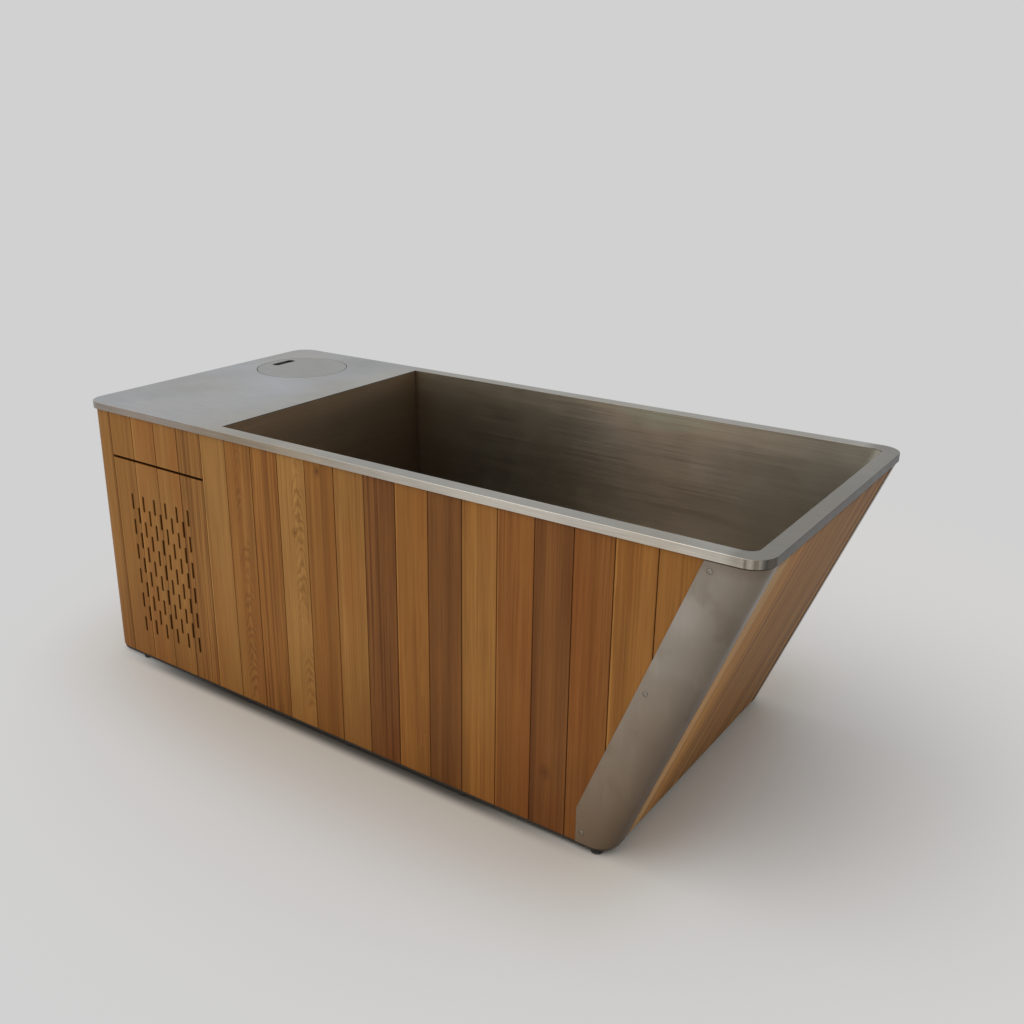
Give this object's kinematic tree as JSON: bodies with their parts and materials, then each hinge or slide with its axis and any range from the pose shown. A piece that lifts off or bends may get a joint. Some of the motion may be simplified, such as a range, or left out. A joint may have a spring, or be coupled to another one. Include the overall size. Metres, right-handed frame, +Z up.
{
  "type": "cold plunge tub",
  "caption": "Free-standing cold plunge tub: stainless basin and deck in a wood-boarded body with one sloped end, vented machine compartment, built-in chiller and filter.",
  "frame": {"origin": "on the floor, under the middle of the rim's outline", "axes": "+X towards the sloped end, -Y to the front with the vent panel, +Z up"},
  "size_m": [2.06, 0.9, 0.8],
  "materials": {
    "stainless": "brushed",
    "cedar": "oiled",
    "frame_steel": "dark powder coat",
    "rubber": "matte",
    "foam": "closed-cell foam",
    "black_plastic": "moulded",
    "white_plastic": "moulded",
    "black_enamel": "satin",
    "copper": "drawn",
    "fin_aluminium": "plain",
    "brass": "cast"
  },
  "bodies": {
    "tub": {"deck_rim": "stainless", "basin": "stainless", "corner_guard_front": "stainless", "corner_guard_back": "stainless", "foot_front_1": "rubber", "foot_front_2": "rubber", "foot_front_3": "rubber", "foot_front_4": "rubber", "foot_front_5": "rubber", "foot_back_1": "rubber", "foot_back_2": "rubber", "foot_back_3": "rubber", "foot_back_4": "rubber", "foot_back_5": "rubber", "base_frame": "frame_steel", "deck_frame": "frame_steel", "equipment_tray": "frame_steel", "foam_jacket": "foam", "corner_post_front": "cedar", "corner_post_back": "cedar", "front_panel_1": "cedar", "front_panel_2": "cedar", "front_panel_3": "cedar", "front_panel_4": "cedar", "back_panel_1": "cedar", "back_panel_2": "cedar", "back_panel_3": "cedar", "back_panel_4": "cedar", "back_panel_5": "cedar", "left_end_panel": "cedar", "sloped_end_panel": "cedar", "vent_header": "cedar", "magnet_catch": "black_plastic", "chiller_case": "black_enamel", "condenser_coil": "fin_aluminium", "fan_shroud": "black_enamel", "compressor": "black_enamel", "heat_exchanger": "frame_steel", "discharge_line": "copper", "liquid_line": "copper", "suction_line": "copper", "pump_body": "black_plastic", "pump_motor": "frame_steel", "filter_canister": "white_plastic", "filter_cartridge": "white_plastic", "suction_fitting": "stainless", "return_fitting": "stainless", "drain_fitting": "stainless", "suction_hose": "black_plastic", "pump_to_filter_hose": "black_plastic", "filter_to_chiller_hose": "black_plastic", "return_hose": "black_plastic", "drain_hose": "black_plastic", "drain_valve": "brass", "control_box": "black_plastic"},
    "lid": {"round_lid": "stainless"},
    "vent_door": {"vent_panel": "cedar"},
    "fan": {"chiller_fan": "black_plastic"},
    "valve_lever": {"drain_valve_handle": "rubber"},
    "filter_lock_cap": {"filter_cap": "black_plastic"}
  },
  "joints": [
    {"name": "lid_lift", "type": "slide", "parent": "tub", "child": "lid", "axis": [0, 0, 1], "range_m": [0, 0.12]},
    {"name": "vent_panel_pull", "type": "slide", "parent": "tub", "child": "vent_door", "axis": [0, -1, 0], "range_m": [0, 0.16]},
    {"name": "fan_spin", "type": "hinge", "parent": "tub", "child": "fan", "pos_m": [-0.745, -0.298, 0.3106], "axis": [0, 1, 0], "continuous": true},
    {"name": "drain_valve_turn", "type": "hinge", "parent": "tub", "child": "valve_lever", "pos_m": [-0.575, 0.33, 0.12], "axis": [0, 0, -1], "range_deg": [0, 90]},
    {"name": "filter_cap_turn", "type": "hinge", "parent": "tub", "child": "filter_lock_cap", "pos_m": [-0.817, 0.224, 0.7], "axis": [0, 0, 1], "range_deg": [0, 90]}
  ]
}
